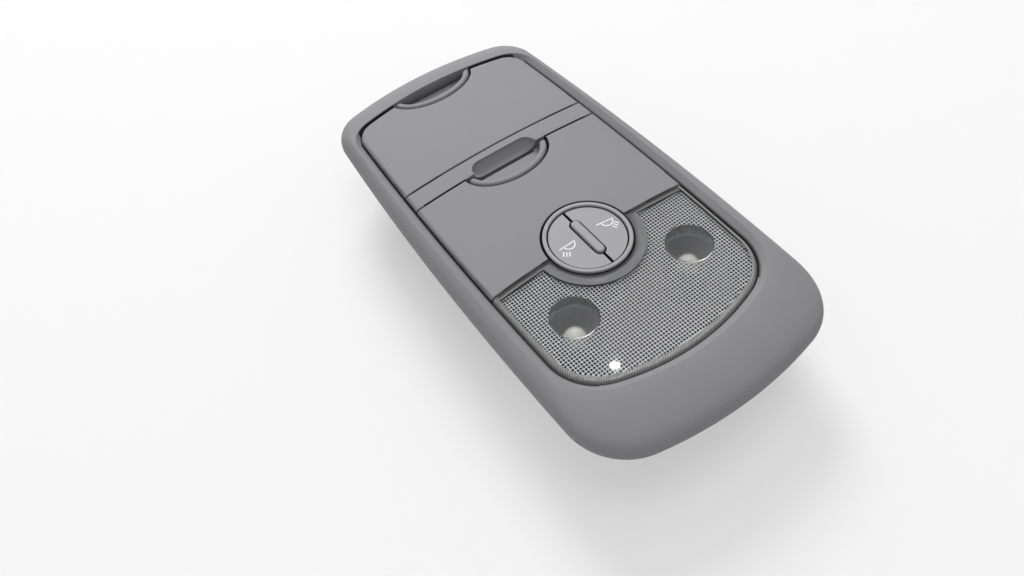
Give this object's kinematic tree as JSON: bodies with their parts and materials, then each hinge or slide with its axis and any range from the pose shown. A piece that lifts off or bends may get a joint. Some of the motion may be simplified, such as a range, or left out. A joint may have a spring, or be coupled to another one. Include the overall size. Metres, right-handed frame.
{
  "type": "car interior light",
  "caption": "Roof console for a car with a clear map-light lens, a round two-button switch and two storage bins under flat lids with half-moon pull latches.",
  "frame": {"origin": "centre of the bounding box's bottom, on the plane of the back", "axes": "+Z out of the face (down in the car), +Y towards the front lid's end, +X to the right"},
  "size_m": [0.126, 0.2376, 0.0427],
  "materials": {
    "grey_plastic": "fine grained mid grey moulding",
    "inner_plastic": "plain dark grey moulding",
    "button_plastic": "smooth grey with white pictograms",
    "clear_plastic": "clear polished acrylic",
    "reflector_coat": "metallised plastic",
    "bulb_glass": "clear glass",
    "holder_plastic": "black nylon",
    "spring_steel": "bright spring steel",
    "pin_steel": "ground steel",
    "screw_steel": "zinc plated",
    "brass": "bare strip",
    "board": "laminate",
    "rubber": "soft black"
  },
  "bodies": {
    "housing": {"bezel": "grey_plastic", "carrier": "grey_plastic", "front_hinge_pins": "pin_steel", "rear_hinge_pins": "pin_steel", "front_bin": "inner_plastic", "rear_bin": "inner_plastic", "lid_bumpers": "rubber", "lens": "clear_plastic", "lamp_housing": "inner_plastic", "switch_housing": "button_plastic", "switch_board": "board", "bus_bars": "brass", "connector_socket": "holder_plastic", "connector_pins": "brass", "roof_clips": "spring_steel", "bezel_screws": "screw_steel", "bin_screws": "screw_steel", "lamp_screws": "screw_steel", "switch_screws": "screw_steel", "left_contact_leaf": "brass", "left_reflector": "reflector_coat", "left_bulb": "bulb_glass", "left_bulb_holder": "holder_plastic", "right_contact_leaf": "brass", "right_reflector": "reflector_coat", "right_bulb": "bulb_glass", "right_bulb_holder": "holder_plastic"},
    "front_lid": {"front_lid": "grey_plastic", "front_latch_pin": "pin_steel", "front_latch_spring": "spring_steel"},
    "rear_lid": {"rear_lid": "grey_plastic", "rear_latch_pin": "pin_steel", "rear_latch_spring": "spring_steel"},
    "front_latch": {"front_latch": "grey_plastic"},
    "rear_latch": {"rear_latch": "grey_plastic"},
    "left_button": {"left_button": "button_plastic"},
    "right_button": {"right_button": "button_plastic"}
  },
  "joints": [
    {"name": "front_lid_hinge", "type": "hinge", "parent": "housing", "child": "front_lid", "pos_m": [0, 0.0534, 0.0398], "axis": [1, 0, 0], "range_deg": [0, 90]},
    {"name": "rear_lid_hinge", "type": "hinge", "parent": "housing", "child": "rear_lid", "pos_m": [0, -0.0176, 0.0398], "axis": [1, 0, 0], "range_deg": [0, 90]},
    {"name": "front_latch_pull", "type": "hinge", "parent": "front_lid", "child": "front_latch", "pos_m": [0, 0.1003, 0.031], "axis": [1, 0, 0], "range_deg": [0, 4.5], "stiffness_Nm_per_rad": 0.2, "springref_deg": -5.16, "deforming": ["front_latch_spring"]},
    {"name": "rear_latch_pull", "type": "hinge", "parent": "rear_lid", "child": "rear_latch", "pos_m": [0, 0.03505, 0.031], "axis": [1, 0, 0], "range_deg": [0, 4.5], "stiffness_Nm_per_rad": 0.2, "springref_deg": -5.16, "deforming": ["rear_latch_spring"]},
    {"name": "left_button_press", "type": "slide", "parent": "housing", "child": "left_button", "axis": [0, 0, -1], "range_m": [0, 0.0018], "stiffness_N_per_m": 1100, "springref_m": -0.0009, "deforming": ["left_contact_leaf"]},
    {"name": "right_button_press", "type": "slide", "parent": "housing", "child": "right_button", "axis": [0, 0, -1], "range_m": [0, 0.0018], "stiffness_N_per_m": 1100, "springref_m": -0.0009, "deforming": ["right_contact_leaf"]}
  ]
}
